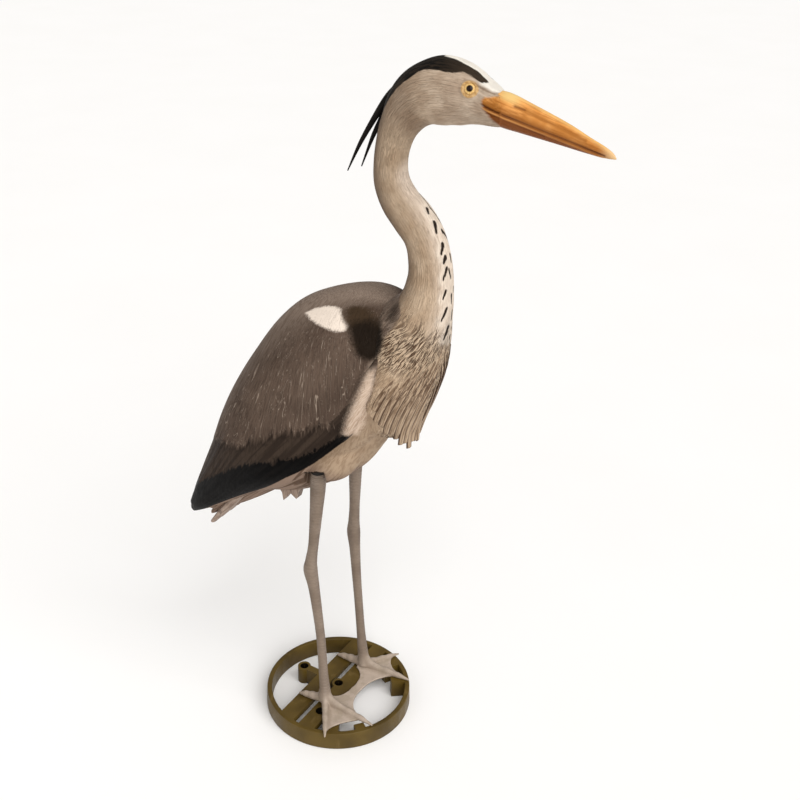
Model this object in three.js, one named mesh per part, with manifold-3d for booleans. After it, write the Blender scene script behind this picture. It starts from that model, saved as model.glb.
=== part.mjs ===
// A life-size moulded plastic heron, a garden ornament, on its round stand.
//
// Millimetres, +Z up. The origin is the middle of the stand's underside, the bill points to -Y and the
// bird's left side is +X. Most forms are sweeps: rings of a rounded section along a smooth path.
// Places are written as [x, forward, height], where forward is -Y.
import * as THREE from 'three';
import { mergeVertices } from 'three/addons/utils/BufferGeometryUtils.js';
import Module from 'manifold-3d';

const wasm = await Module();
wasm.setup();

// Driving dimensions.
const GAP = 0.3;
const SLIVER = 0.2;
const STAND = { radius: 99, height: 25, wall: 8, baseThickness: 3 };
const RAIL = { thickness: 3, rear: [-34, -11], front: [-2, 21], lip: 2.5, lipHeight: 4 };
const SOCKET = { outer: 9, bore: 6, at: [0, -60], barWidth: 10 };
const PEG_HOLE = { radius: 7, forward: 10, side: 58, depth: 12 };
const TOE_RESTS = [
  { angle: -38, from: 83, width: 14 },
  { angle: 38, from: 73, width: 14 },
  { angle: -62, from: 70, width: 17 },
  { angle: 62, from: 70, width: 17 },
];
const SOLE = STAND.height + GAP;
const WEB_THICKNESS = 3.4;
const EYE = { along: 0.112, angle: 0.52, radius: 8, bulge: 1.8 };

// Sweep stations: [forward, height, towards the back, towards the belly, half width].
const HEAD_AND_NECK = [
  [196, 839, 12, 17, 12], [182, 841, 15.5, 20.5, 16.5], [165, 844, 22.5, 23.5, 21.5],
  [146, 846, 33.5, 26.5, 25], [124, 845, 38, 30.5, 27], [103, 839, 34.5, 28, 26.5], [86, 826, 29, 24, 24],
  [73, 807, 21.5, 20, 21], [66, 787, 19, 18, 18.5], [63, 766, 18.5, 18, 17.6], [66, 746, 21, 18.5, 18],
  [76, 728, 23, 20.5, 19], [91, 710, 21.5, 25, 21], [104, 692, 18.5, 25.5, 22], [112, 671, 21, 25.5, 23],
  [115, 648, 23.5, 26, 26.5], [111, 620, 28, 30.5, 36], [99, 588, 42, 41, 52], [84, 548, 44, 49, 66],
  [72, 505, 42, 47, 68], [65, 478, 32, 44.5, 57], [62, 466, 16, 43, 46],
];
const BILL = [
  [172, 843, 13, 13, 12], [190, 840, 15.5, 18.5, 13.5], [215, 833.5, 14.6, 15.5, 11], [250, 824.5, 12.2, 10.7, 8],
  [282, 816.5, 8.6, 6.8, 5], [300, 811.6, 4.8, 3, 2.6], [307, 809.6, 0.8, 0.8, 0.8],
];
const TRUNK = [
  [86, 603, 12, 12, 14], [76, 592, 42, 36, 50], [55, 568, 62, 60, 70], [15, 520, 80, 84, 79],
  [-38, 458, 78, 102, 80], [-90, 396, 62, 84, 70], [-130, 350, 46, 52, 54], [-165, 308, 30, 33, 40],
  [-190, 272, 12, 18, 26],
];
const WINGS = [
  [84, 601, 14, 12, 22], [66, 582, 56, 34, 66], [32, 541, 87, 72, 84], [0, 503, 95.5, 86, 88],
  [-38, 458, 91, 79, 90], [-70, 420, 84, 70, 86], [-100, 384, 74, 54, 77], [-135, 342, 58, 35, 63],
  [-170, 303, 43, 20, 48], [-202, 270, 27, 12, 35], [-226, 245, 12, 6, 22], [-235, 235, 4, 3, 14],
];
const WING_EDGE_SQUARENESS = 3.4;
const TAIL = [
  [-60, 395, 20, 36, 44], [-110, 342, 22, 34, 38], [-148, 300, 16, 24, 32], [-176, 268, 9, 12, 27],
  [-195, 246, 4, 5, 22],
];

// Legs from the belly down to the foot, one row of stations for each, and where each toe ends.
const LEGS = [
  {
    x: -42.5,
    stations: [[-2.5, 402, 8, 8, 8], [-2.5, 374, 10, 9.8, 9.5], [-5.5, 330, 8.6, 8, 8], [-10, 280, 7, 6.4, 6.4],
      [-13.5, 252, 8.4, 7, 7.4], [-14, 236, 10.9, 8.2, 8.4], [-9.8, 212, 8.4, 6.8, 7], [-4.5, 172, 6.8, 6.2, 6.2],
      [0.5, 130, 6.3, 5.8, 5.8], [3.8, 80, 6.4, 6.1, 6.1], [6.5, 46, 7.5, 7.5, 7.5], [7, 32, 9, 9, 9]],
    middle: [84, -45.5], outer: [43, -97], hind: [-33, -47],
  },
  {
    x: 46.5,
    stations: [[-6, 402, 8, 8, 8], [-6, 374, 10.2, 9.4, 9.5], [-6, 330, 8.8, 7.6, 8], [-6.5, 290, 7.4, 6.4, 6.8],
      [-7, 264, 8.4, 6.8, 7.4], [-6.8, 247, 10.4, 7.8, 8.4], [-5.2, 222, 8.2, 6.8, 7], [-2.5, 180, 6.4, 6.2, 6.2],
      [1.5, 135, 5.9, 5.8, 5.8], [6, 85, 6.1, 6.1, 6.1], [10, 48, 7.5, 7.5, 7.5], [12.5, 32, 9, 9, 9]],
    middle: [80.5, 55.5], outer: [40.5, 95], hind: [-33, 46],
  },
];

// The two free plumes behind the head, as the places of their middle lines.
const CREST = [
  [[0, 58, 841], [0, 50, 829], [-1, 39.5, 811], [-2, 24, 781], [-2.5, 10.6, 749]],
  [[0, 57, 836], [1, 51, 822], [1.5, 45, 808], [2, 36.5, 788], [2.5, 25, 755]],
];

const COUNTS = { breastPlumes: 9, primaries: 4, secondaries: 5 };

/** A place given as [x, forward, height]. */
function place([x, forward, height]) {
  return new THREE.Vector3(x, -forward, height);
}

/** Catmull-Rom interpolation of one column of a table, with t from 0 to 1 over its rows. */
function column(rows, index, t) {
  const last = rows.length - 1;
  const at = Math.min(t * last, last - 1e-9);
  const i = Math.floor(at);
  const value = (k) => rows[Math.min(Math.max(k, 0), last)][index];
  const [a, b, c, d] = [value(i - 1), value(i), value(i + 1), value(i + 2)];
  const w = at - i;
  const slopeIn = (c - a) / 2;
  const slopeOut = (d - b) / 2;
  return b + slopeIn * w + (3 * (c - b) - 2 * slopeIn - slopeOut) * w * w
    + (2 * (b - c) + slopeIn + slopeOut) * w * w * w;
}

/** The section's centre and its axes at t: across (sideways) and back (away from the belly). */
function sectionFrame(stations, t, x) {
  const step = 1e-3;
  const centre = place([x, column(stations, 0, t), column(stations, 1, t)]);
  const [t0, t1] = [Math.max(t - step, 0), Math.min(t + step, 1)];
  const along = place([0, column(stations, 0, t1) - column(stations, 0, t0),
    column(stations, 1, t1) - column(stations, 1, t0)]).normalize();
  const across = new THREE.Vector3(1, 0, 0);
  return { centre, along, across, back: new THREE.Vector3().crossVectors(across, along) };
}

/** A point on a mid-plane sweep: angle 90 degrees is the back, 0 the left side, -90 the belly. */
function surfacePoint(stations, t, angle, { x = 0, squareness = 2, grow = 0, flip = 1 } = {}) {
  const { centre, across, back } = sectionFrame(stations, t, x);
  const [c, s] = [Math.cos(angle), Math.sin(angle)];
  const power = s < 0 ? squareness : 2;
  const round = (Math.abs(c) ** power + Math.abs(s) ** power) ** (-1 / power);
  const reach = column(stations, s < 0 ? 3 : 2, t) + grow;
  return centre.clone()
    .addScaledVector(across, (column(stations, 4, t) + grow) * c * round)
    .addScaledVector(back, flip * reach * s * round);
}

/** A closed mesh from rings of points, with flat ends. */
function skin(rings) {
  const sides = rings[0].length;
  const positions = rings.flat().flatMap((p) => [p.x, p.y, p.z]);
  const faces = [];
  for (let i = 0; i < rings.length - 1; i++) {
    for (let j = 0; j < sides; j++) {
      const [a, b] = [i * sides + j, i * sides + (j + 1) % sides];
      faces.push(a, b, b + sides, a, b + sides, a + sides);
    }
  }
  const end = (rings.length - 1) * sides;
  for (let j = 1; j < sides - 1; j++) {
    faces.push(0, j + 1, j, end, end + j, end + j + 1);
  }
  const geometry = new THREE.BufferGeometry();
  geometry.setAttribute('position', new THREE.Float32BufferAttribute(positions, 3));
  geometry.setIndex(faces);
  return geometry;
}

/** A sweep in the bird's middle plane, or in a plane beside it for a leg. */
function planeSweep(stations, { sides = 24, perSpan = 3, ...options } = {}) {
  const rings = (stations.length - 1) * perSpan;
  return solid(skin(Array.from({ length: rings + 1 }, (_, i) => Array.from({ length: sides }, (_, j) =>
    surfacePoint(stations, i / rings, (2 * Math.PI * j) / sides, options)))));
}

/** A round or flattened strand through places, its sizes [half height, half width] one for each place. */
function strand(places, sizes, { sides = 6, rings = 10, normals = null } = {}) {
  const curve = new THREE.CatmullRomCurve3(places);
  const ringAt = (i) => {
    const t = i / rings;
    const along = curve.getTangent(t);
    const up = normals ? normals(t) : new THREE.Vector3(0, 0, 1);
    const across = new THREE.Vector3().crossVectors(along, up).normalize();
    const normal = new THREE.Vector3().crossVectors(across, along);
    return Array.from({ length: sides }, (_, j) => {
      const angle = (2 * Math.PI * j) / sides;
      return curve.getPoint(t)
        .addScaledVector(across, column(sizes, 1, t) * Math.cos(angle))
        .addScaledVector(normal, column(sizes, 0, t) * Math.sin(angle));
    });
  };
  return solid(skin(Array.from({ length: rings + 1 }, (_, i) => ringAt(i))));
}

/** A geometry as a solid for joining and cutting, its faces turned to point out. */
function solid(geometry) {
  const bare = geometry.clone();
  bare.deleteAttribute('normal');
  bare.deleteAttribute('uv');
  const merged = mergeVertices(bare, 1e-4);
  const mesh = (triVerts) => new wasm.Mesh({
    numProp: 3, vertProperties: new Float32Array(merged.attributes.position.array), triVerts });
  const faces = new Uint32Array(merged.index.array);
  const made = new wasm.Manifold(mesh(faces));
  return made.volume() > 0 ? made : new wasm.Manifold(mesh(faces.slice().reverse()));
}

/** A solid back as a three.js mesh, without the slivers that joining leaves. */
function namedMesh(name, shape, color, roughness) {
  const { vertProperties, triVerts } = shape.simplify(SLIVER).getMesh();
  const geometry = new THREE.BufferGeometry();
  geometry.setAttribute('position', new THREE.Float32BufferAttribute(vertProperties, 3));
  geometry.setIndex(new THREE.Uint32BufferAttribute(triVerts, 1));
  geometry.computeVertexNormals();
  const mesh = new THREE.Mesh(geometry, new THREE.MeshStandardMaterial({ color, roughness, metalness: 0 }));
  mesh.name = name;
  return mesh;
}

function union(shapes) {
  return shapes.reduce((all, one) => all.add(one));
}

/** The joined shape without the small hollows shut in between its forms. */
function filled(shape) {
  return shape.decompose().reduce((largest, one) => (one.volume() > largest.volume() ? one : largest));
}

/** A block between two corners [x, forward, height]. */
function block(low, high) {
  const [a, b] = [place(low), place(high)];
  const box = new THREE.BoxGeometry(Math.abs(b.x - a.x), Math.abs(b.y - a.y), Math.abs(b.z - a.z));
  box.translate((a.x + b.x) / 2, (a.y + b.y) / 2, (a.z + b.z) / 2);
  return solid(box);
}

/** An upright round post, or the bore in one. */
function post(radius, [x, forward], bottom, top, sides = 14) {
  const cylinder = new THREE.CylinderGeometry(radius, radius, top - bottom, sides);
  cylinder.rotateX(Math.PI / 2);
  cylinder.translate(x, -forward, (bottom + top) / 2);
  return solid(cylinder);
}

/** The upright ring of the stand. */
function ring() {
  const { radius, height, wall } = STAND;
  const profile = [[radius - wall, 0], [radius, 0], [radius - 1, height], [radius - wall + 0.5, height],
    [radius - wall, 0]].map(([r, z]) => new THREE.Vector2(r, z));
  const lathe = new THREE.LatheGeometry(profile, 48);
  lathe.rotateX(Math.PI / 2);
  return solid(lathe);
}

/** A flat rail across the ring, with a low lip along each edge. */
function rail([rear, front]) {
  const half = STAND.radius;
  const top = STAND.height;
  const plate = block([-half, rear, top - RAIL.thickness], [half, front, top]);
  const lips = [[rear, rear + RAIL.lip], [front - RAIL.lip, front]].map(([from, to]) =>
    block([-half, from, top - RAIL.thickness - RAIL.lipHeight], [half, to, top]));
  return union([plate, ...lips]);
}

/** A block on the inside of the ring that a toe rests on. */
function toeRest({ angle, from, width }) {
  const reach = STAND.radius - STAND.wall / 2;
  const box = new THREE.BoxGeometry(width, reach - from, STAND.height);
  box.translate(0, -(from + reach) / 2, STAND.height / 2);
  box.rotateZ(THREE.MathUtils.degToRad(angle));
  return solid(box);
}

function stand() {
  const { height, baseThickness, radius, wall } = STAND;
  const inside = post(radius - wall / 2, [0, 0], 0, height, 48);
  const rails = union([rail(RAIL.rear), rail(RAIL.front)]).intersect(inside);
  const rearSocket = [SOCKET.at[0] + 3, SOCKET.at[1]];
  const bar = block([rearSocket[0] - SOCKET.barWidth / 2, SOCKET.at[1], 0],
    [rearSocket[0] + SOCKET.barWidth / 2, RAIL.rear[1], height]);
  const posts = [rearSocket, [0, 0]].map((at) => post(SOCKET.outer, at, 0, height));
  const pegHoles = [-1, 1].map((side) => [side * PEG_HOLE.side, PEG_HOLE.forward]);
  const pegs = pegHoles.map((at) => post(PEG_HOLE.radius + 3, at, height - PEG_HOLE.depth - 3, height));
  const bores = [rearSocket, [0, 0]].map((at) => post(SOCKET.bore, at, baseThickness, height + 1));
  const holes = pegHoles.map((at) => post(PEG_HOLE.radius, at, height - PEG_HOLE.depth, height + 1));
  return union([ring(), rails, bar, ...posts, ...pegs, ...TOE_RESTS.map(toeRest)])
    .subtract(union([...bores, ...holes]));
}

/** One toe from above the ankle to its tip, its sole flat on the stand. */
function toe(leg, [forward, x], thickness) {
  const ankle = leg.stations.at(-1);
  const along = (share, height) => place([THREE.MathUtils.lerp(leg.x, x, share),
    THREE.MathUtils.lerp(ankle[0], forward, share), height]);
  const heights = [1.25, 1, 0.85, 0.7, 0.3].map((share) => share * thickness);
  const places = heights.map((half, i) => along(i / 4, SOLE + half));
  const sizes = heights.map((half) => [half, half * 1.15]);
  return strand(places, sizes, { sides: 6, rings: 6 });
}

/** The web between the toes of both feet, with its U round the stand's middle socket. */
function web() {
  const [near, far] = LEGS;
  const shape = new THREE.Shape();
  const to = (forward, x) => [x, -forward];
  const bend = (control, end) => shape.quadraticCurveTo(...to(...control), ...to(...end));
  shape.moveTo(...to(near.outer[0] - 4, near.outer[1] + 6));
  bend([36, near.outer[1] + 26], [62, near.middle[1] - 3]);
  shape.lineTo(...to(62, near.middle[1] + 3));
  bend([32, near.middle[1] + 16], [35, 3]);
  bend([34, far.middle[1] - 22], [60, far.middle[1] - 3]);
  shape.lineTo(...to(60, far.middle[1] + 3));
  bend([34, far.outer[1] - 26], [far.outer[0] - 4, far.outer[1] - 6]);
  shape.lineTo(...to(12, far.x + 6));
  shape.lineTo(...to(4, far.x - 8));
  bend([24, far.x - 16], [22, 3]);
  bend([22, near.x + 14], [2, near.x + 14]);
  shape.lineTo(...to(0, near.x));
  shape.lineTo(...to(6, near.x - 8));
  shape.closePath();
  const plate = new THREE.ExtrudeGeometry(shape, { depth: WEB_THICKNESS, bevelEnabled: false, curveSegments: 7 });
  plate.translate(0, 0, SOLE);
  return solid(plate);
}

function legsAndFeet() {
  const limbs = LEGS.flatMap((leg) => [
    planeSweep(leg.stations, { x: leg.x, sides: 10, perSpan: 1 }),
    toe(leg, leg.middle, 4.6), toe(leg, leg.outer, 3.4), toe(leg, leg.hind, 4.4)]);
  const soles = block([-120, -60, -10], [120, 120, SOLE]);
  return union([...limbs, web()]).subtract(soles);
}

/** The long plumes that hang from the breast, their tips jagged. */
function breastPlumes() {
  return Array.from({ length: COUNTS.breastPlumes }, (_, i) => {
    const across = (2 * i) / (COUNTS.breastPlumes - 1) - 1;
    const angleAt = (t) => -Math.PI / 2 + across * (0.7 + 0.45 * t);
    const start = 0.82 + 0.03 * (i % 2);
    const places = [0, 0.33, 0.66, 1].map((share) => {
      const t = THREE.MathUtils.lerp(start, 1, share);
      return surfacePoint(HEAD_AND_NECK, t, angleAt(t));
    });
    const drop = 18 + 3 * ((i * 5) % 3) - 20 * across * across;
    places.push(places.at(-1).clone().add(new THREE.Vector3(0, 0, -drop)));
    const outward = new THREE.Vector3(Math.sin(1.1 * across), -Math.cos(1.1 * across), 0.1);
    return strand(places, [[1, 3], [2.2, 7.5], [2.6, 9], [3, 8.5], [1.6, 5.5]],
      { rings: 5, normals: () => outward });
  });
}

/** Long flat feathers along a folded wing, from the row's first one to its last, nearer the edge. */
function flightFeathers(side, count, first, last, width) {
  return Array.from({ length: count }, (_, i) => {
    const share = i / (count - 1);
    const angle = THREE.MathUtils.lerp(first.angle, last.angle, share);
    const from = THREE.MathUtils.lerp(first.from, last.from, share);
    const until = THREE.MathUtils.lerp(first.until, last.until, share);
    const options = { squareness: WING_EDGE_SQUARENESS };
    const at = (t) => surfacePoint(WINGS, t, side > 0 ? angle : Math.PI - angle, options);
    const outward = (t) => at(t).sub(sectionFrame(WINGS, t, 0).centre).normalize();
    const places = [0, 0.25, 0.5, 0.75, 1].map((s) => at(THREE.MathUtils.lerp(from, until, s)));
    return strand(places, [[0.5, 4], [1.8, width], [2.2, width], [2.2, width * 0.85], [1.2, width * 0.45]],
      { sides: 5, rings: 5, normals: (s) => outward(THREE.MathUtils.lerp(from, until, s)) });
  });
}

function wingFeathers() {
  return [-1, 1].flatMap((side) => [
    ...flightFeathers(side, COUNTS.secondaries, { angle: 0.35, from: 0.42, until: 0.9 },
      { angle: -0.3, from: 0.3, until: 0.84 }, 10),
    ...flightFeathers(side, COUNTS.primaries, { angle: -0.4, from: 0.45, until: 0.95 },
      { angle: -0.78, from: 0.26, until: 0.98 }, 8)]);
}

/** The fan of tail feathers under the wing tips, and the ragged feathers behind the legs. */
function tailFeathers() {
  const tip = [-190, 236];
  const fan = [-1, -0.4, 0.4, 1].map((across, i) => strand(
    [[26 * across, -110, 335], [24 * across, -156, 278], [20 * across, tip[0] + 3 * i, tip[1] + 3 * i]].map(place),
    [[8, 10], [6, 9.5], [3, 6]], { rings: 4 }));
  const tufts = [[-47, 328, -20], [-71, 312, -16], [-52, 326, 18], [-76, 310, 13]].map(([forward, height, x]) =>
    strand([[x, forward - 12, height + 46], [x, forward - 2, height + 22], [x, forward, height]].map(place),
      [[11, 13], [8, 12], [1.2, 4]], { rings: 3, normals: () => new THREE.Vector3(0, 1, 0) }));
  return [...fan, ...tufts];
}

/** The rounded roll along the front edge of each folded wing. */
function wingRolls() {
  return [-1, 1].map((side) => strand(
    [[side * 68, 92, 572], [side * 74, 84, 543], [side * 77, 73, 514], [side * 76, 58, 478], [side * 71, 40, 452]]
      .map(place), [[2, 2], [8, 7], [9, 8], [8, 7], [2, 2]],
    { rings: 6, normals: () => new THREE.Vector3(0, -1, 0) }));
}

/** The feathered thigh over the top of each leg. */
function thighs() {
  return LEGS.map(({ x, stations }) => {
    const [forward] = stations[1];
    return planeSweep([[forward + 50, 458, 6, 6, 10], [forward + 34, 438, 40, 27, 34], [forward + 12, 410, 46, 33, 40],
      [forward, 391, 28, 20, 31], [forward - 4, 382, 10, 8, 15]], { x: x * 0.8, sides: 12, perSpan: 2 });
  });
}

/** A round eye on each side, sunk in the head so that only its bulge shows. */
function eyes() {
  return [EYE.angle, Math.PI - EYE.angle].map((angle) => {
    const at = (t, a) => surfacePoint(HEAD_AND_NECK, t, a);
    const surface = at(EYE.along, angle);
    const outward = new THREE.Vector3().crossVectors(at(EYE.along + 0.004, angle).sub(surface),
      at(EYE.along, angle + 0.02).sub(surface)).normalize();
    const centre = surface.addScaledVector(outward, EYE.bulge - EYE.radius);
    const ball = new THREE.SphereGeometry(EYE.radius, 10, 8);
    ball.translate(centre.x, centre.y, centre.z);
    return solid(ball);
  });
}

/** The groove of the closed bill on each side, from the gape to near the tip. */
function gape() {
  return [-1, 1].map((side) => strand(
    [[side * 15.5, 172, 841], [side * 13.2, 194, 836], [side * 10.4, 230, 827.5], [side * 7, 268, 818.5],
      [side * 3.4, 296, 811]].map(place),
    [[1.1, 1.6], [1.3, 1.6], [1.1, 1.5], [0.8, 1.2], [0.4, 0.8]], { rings: 6, sides: 4 }));
}

function legSockets() {
  return LEGS.map((leg) => planeSweep(leg.stations, { x: leg.x, sides: 10, perSpan: 1, grow: GAP })
    .add(post(9, [leg.x, leg.stations[0][0]], 395, 402 + GAP)));
}

function body() {
  const forms = [
    planeSweep(HEAD_AND_NECK, { sides: 18, perSpan: 2 }),
    planeSweep(BILL, { sides: 12, perSpan: 2, flip: -1 }).subtract(union(gape())),
    planeSweep(TRUNK, { sides: 20, perSpan: 2 }),
    planeSweep(WINGS, { sides: 24, perSpan: 2, squareness: WING_EDGE_SQUARENESS }),
    planeSweep(TAIL, { sides: 14, perSpan: 1 }),
    ...thighs(), ...eyes(), ...wingRolls(), ...breastPlumes(), ...wingFeathers(), ...tailFeathers(),
  ];
  return filled(union(forms)).subtract(union(legSockets()));
}

function crestPlumes() {
  const strands = CREST.map((places) => strand(places.map(place),
    [[2, 3], [4, 4], [3.2, 3.2], [2.2, 2.4], [0.8, 1]], { rings: 10, normals: () => new THREE.Vector3(0, 1, 0) }));
  return union(strands).subtract(planeSweep(HEAD_AND_NECK, { sides: 18, perSpan: 2, grow: GAP }));
}

const heron = new THREE.Group();
heron.add(
  namedMesh('stand', stand(), 0x6a5a2e, 0.4),
  namedMesh('legs_and_feet', legsAndFeet(), 0xa89a8e, 0.6),
  namedMesh('body', body(), 0x9c9188, 0.55),
  namedMesh('crest_plumes', crestPlumes(), 0x15130f, 0.5),
);

export default heron;
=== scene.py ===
"""The looks of a life-size moulded plastic heron on its stand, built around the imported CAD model.

Tables are in millimetres in the part's frame: X is the bird's left, the bill points to -Y and Z is up.
Places are written [x, forward, height], where forward is -Y. Meshes are made in metres.
"""

import math
from functools import partial

import bpy
import numpy as np
from mathutils import Matrix, Vector


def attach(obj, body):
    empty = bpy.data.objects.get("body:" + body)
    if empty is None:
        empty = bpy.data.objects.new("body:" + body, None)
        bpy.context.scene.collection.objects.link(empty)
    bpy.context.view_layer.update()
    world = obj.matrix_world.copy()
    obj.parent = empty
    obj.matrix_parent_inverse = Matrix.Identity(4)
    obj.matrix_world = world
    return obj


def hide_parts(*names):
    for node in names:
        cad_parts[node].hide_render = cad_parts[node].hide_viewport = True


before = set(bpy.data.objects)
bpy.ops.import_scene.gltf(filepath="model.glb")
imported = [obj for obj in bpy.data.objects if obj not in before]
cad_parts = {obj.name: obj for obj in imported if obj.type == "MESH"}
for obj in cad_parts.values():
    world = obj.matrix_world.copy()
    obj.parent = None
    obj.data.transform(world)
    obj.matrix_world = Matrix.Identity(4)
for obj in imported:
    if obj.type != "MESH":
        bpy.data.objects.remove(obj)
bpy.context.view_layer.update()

MM = 0.001

# The forms of the CAD model, repeated here with the same values.
STAND = {"radius": 99, "height": 25, "wall": 8, "base": 3}
RAILS = [(-34, -11), (-2, 21)]
RAIL_THICKNESS = 3
RAIL_LIP = (2.5, 4)
SOCKETS = [(3, -60), (0, 0)]
SOCKET_OUTER, SOCKET_BORE = 9, 6
PEG_HOLE = {"radius": 7, "wall": 3, "forward": 10, "side": 58, "depth": 12}
TOE_RESTS = [(-38, 83, 14), (38, 73, 14), (-62, 70, 17), (62, 70, 17)]
SOLE = 25.3
TOES = {"middle": 5.0, "outer": 4.2, "hind": 5.6}
WEB_THICKNESS = 3.4
EYE = {"along": 0.112, "angle": 0.52, "radius": 8, "bulge": 1.8}

# Sweep stations: [forward, height, towards the back, towards the belly, half width].
HEAD_AND_NECK = [
    [196, 839, 12, 17, 12], [182, 841, 15.5, 20.5, 16.5], [165, 844, 22.5, 23.5, 21.5],
    [146, 846, 33.5, 26.5, 25], [124, 845, 38, 30.5, 27], [103, 839, 34.5, 28, 26.5],
    [86, 826, 29, 24, 24], [73, 807, 21.5, 20, 21], [66, 787, 19, 18, 18.5],
    [63, 766, 18.5, 18, 17.6], [66, 746, 21, 18.5, 18], [76, 728, 23, 20.5, 19],
    [91, 710, 21.5, 25, 21], [104, 692, 18.5, 25.5, 22], [112, 671, 21, 25.5, 23],
    [115, 648, 23.5, 26, 26.5], [111, 620, 28, 30.5, 36], [99, 588, 42, 41, 52],
    [84, 548, 44, 49, 66], [72, 505, 42, 47, 68], [65, 478, 32, 44.5, 57], [62, 466, 16, 43, 46],
]
BILL = [
    [172, 843, 13, 13, 12], [190, 840, 15.5, 18.5, 13.5], [215, 833.5, 14.6, 15.5, 11],
    [250, 824.5, 12.2, 10.7, 8], [282, 816.5, 8.6, 6.8, 5], [300, 811.6, 4.8, 3, 2.6],
    [307, 809.6, 0.8, 0.8, 0.8],
]
TRUNK = [
    [86, 603, 12, 12, 14], [76, 592, 42, 36, 50], [55, 568, 62, 60, 70], [15, 520, 80, 84, 79],
    [-38, 458, 78, 102, 80], [-90, 396, 62, 84, 70], [-130, 350, 46, 52, 54], [-165, 308, 30, 33, 40],
    [-190, 272, 12, 18, 26],
]
WINGS = [
    [84, 601, 14, 12, 22], [66, 582, 56, 34, 66], [32, 541, 87, 72, 84], [0, 503, 95.5, 86, 88],
    [-38, 458, 91, 79, 90], [-70, 420, 84, 70, 86], [-100, 384, 74, 54, 77], [-135, 342, 58, 35, 63],
    [-170, 303, 43, 20, 48], [-202, 270, 27, 12, 35], [-226, 245, 12, 6, 22], [-235, 235, 4, 3, 14],
]
WING_EDGE_SQUARENESS = 3.4
TAIL = [
    [-60, 395, 20, 36, 44], [-110, 342, 22, 34, 38], [-148, 300, 16, 24, 32], [-176, 268, 9, 12, 27],
    [-195, 246, 4, 5, 22],
]
LEGS = [
    {
        "x": -42.5, "middle": (84, -45.5), "outer": (43, -97), "hind": (-33, -47),
        "stations": [
            [-2.5, 402, 8, 8, 8], [-2.5, 374, 10, 9.8, 9.5], [-5.5, 330, 8.6, 8, 8], [-10, 280, 7, 6.4, 6.4],
            [-13.5, 252, 8.4, 7, 7.4], [-14, 236, 10.9, 8.2, 8.4], [-9.8, 212, 8.4, 6.8, 7],
            [-4.5, 172, 6.8, 6.2, 6.2], [0.5, 130, 6.3, 5.8, 5.8], [3.8, 80, 6.4, 6.1, 6.1],
            [6.5, 46, 7.5, 7.5, 7.5], [7, 32, 9, 9, 9],
        ],
    },
    {
        "x": 46.5, "middle": (80.5, 55.5), "outer": (40.5, 95), "hind": (-33, 46),
        "stations": [
            [-6, 402, 8, 8, 8], [-6, 374, 10.2, 9.4, 9.5], [-6, 330, 8.8, 7.6, 8],
            [-6.5, 290, 7.4, 6.4, 6.8], [-7, 264, 8.4, 6.8, 7.4], [-6.8, 247, 10.4, 7.8, 8.4],
            [-5.2, 222, 8.2, 6.8, 7], [-2.5, 180, 6.4, 6.2, 6.2], [1.5, 135, 5.9, 5.8, 5.8],
            [6, 85, 6.1, 6.1, 6.1],
            [10, 48, 7.5, 7.5, 7.5], [12.5, 32, 9, 9, 9],
        ],
    },
]
CREST = [
    [[0, 58, 841], [0, 50, 829], [-1, 39.5, 811], [-2, 24, 781], [-2.5, 10.6, 749]],
    [[0, 57, 836], [1, 51, 822], [1.5, 45, 808], [2, 36.5, 788], [2.5, 25, 755]],
]

# Lines on the head and bill, on the bird's left side.
GAPE = [
    [21.5, 163, 847.5], [19.2, 172.5, 844.5], [15.5, 186, 838.8], [13.2, 194, 836], [10.4, 230, 827.5],
    [7, 268, 818.5], [3.4, 296, 811],
]
SECOND_GROOVE = [[17, 178, 836], [13, 194, 830.6], [10.4, 212, 826.4], [8, 236, 821.5]]
NOSTRIL = [[9.6, 204, 845.6], [8.4, 214, 843.2]]
UPPER_GROOVE = [*NOSTRIL, [6.8, 240, 834.6], [4.6, 276, 823]]
BROW = [
    [18, 153, 864.5], [16.1, 157.5, 865], [15, 162, 863.2], [14, 168.2, 859.9], [12.6, 175, 856.7],
    [9.7, 181.6, 854.7], [5, 187, 854.6],
]
FOREHEAD = [[10, 163, 868], [10, 173, 861.5], [6, 183, 858]]
CROWN = [[0, 136, 884], [0, 100, 875]]
# Where the neck leaves the shoulder, and painted shade darkens the crease.
CREASE = [[31, 91, 619], [37, 93, 611]]

# The painted regions, as places on a sweep: [along its middle line, degrees above the side].
# A degree counts as so many millimetres when distances to a border are taken.
WING_DEGREE, NECK_DEGREE = 1.5, 0.5
# The same for the feather lines of the neck, and of the breast where they fan out.
FLOW_DEGREE, FAN_DEGREE = 0.45, 0.9
WHITE_PATCH = [
    [72, 57], [58, 57], [45, 54], [34, 49], [29, 43], [28, 30], [25, 20], [29, 17], [38, 22], [48, 31],
    [59, 42],
]
BLACK_PATCH = [
    [23, 40], [20, 42], [15, 40], [10, 33], [7, 17], [4, -4], [7, -15], [16, -20], [26, -21], [30, -14],
    [31, -6], [28, 3], [25, 11], [24, 24],
]
SOOT_LINE = [[21, 10], [14, -6], [22, -15], [27, -8]]
CREAM_EDGE = [
    [29, -20], [24, -21], [22, -25], [40, -33], [53, -36], [76, -43], [97, -48], [111, -48], [113, -37],
    [93, -32], [72, -28], [52, -25],
]
BLACK_BAND = [
    [112, -37], [133, -36], [157, -33], [184, -29], [203, -25], [212, -19], [226, -20], [239, -13],
    [250, -10], [271, -6], [296, 0], [324, 4], [348, 10], [383, 17], [404, 23], [430, 60], [440, 120],
    [560, 120], [560, -60], [100, -60],
]
COVERT_EDGE = [
    [117, -27], [128, -22], [152, -17], [175, -9], [201, -3], [224, 2], [256, 9], [280, 21], [330, 50],
    [350, 95],
]
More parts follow.
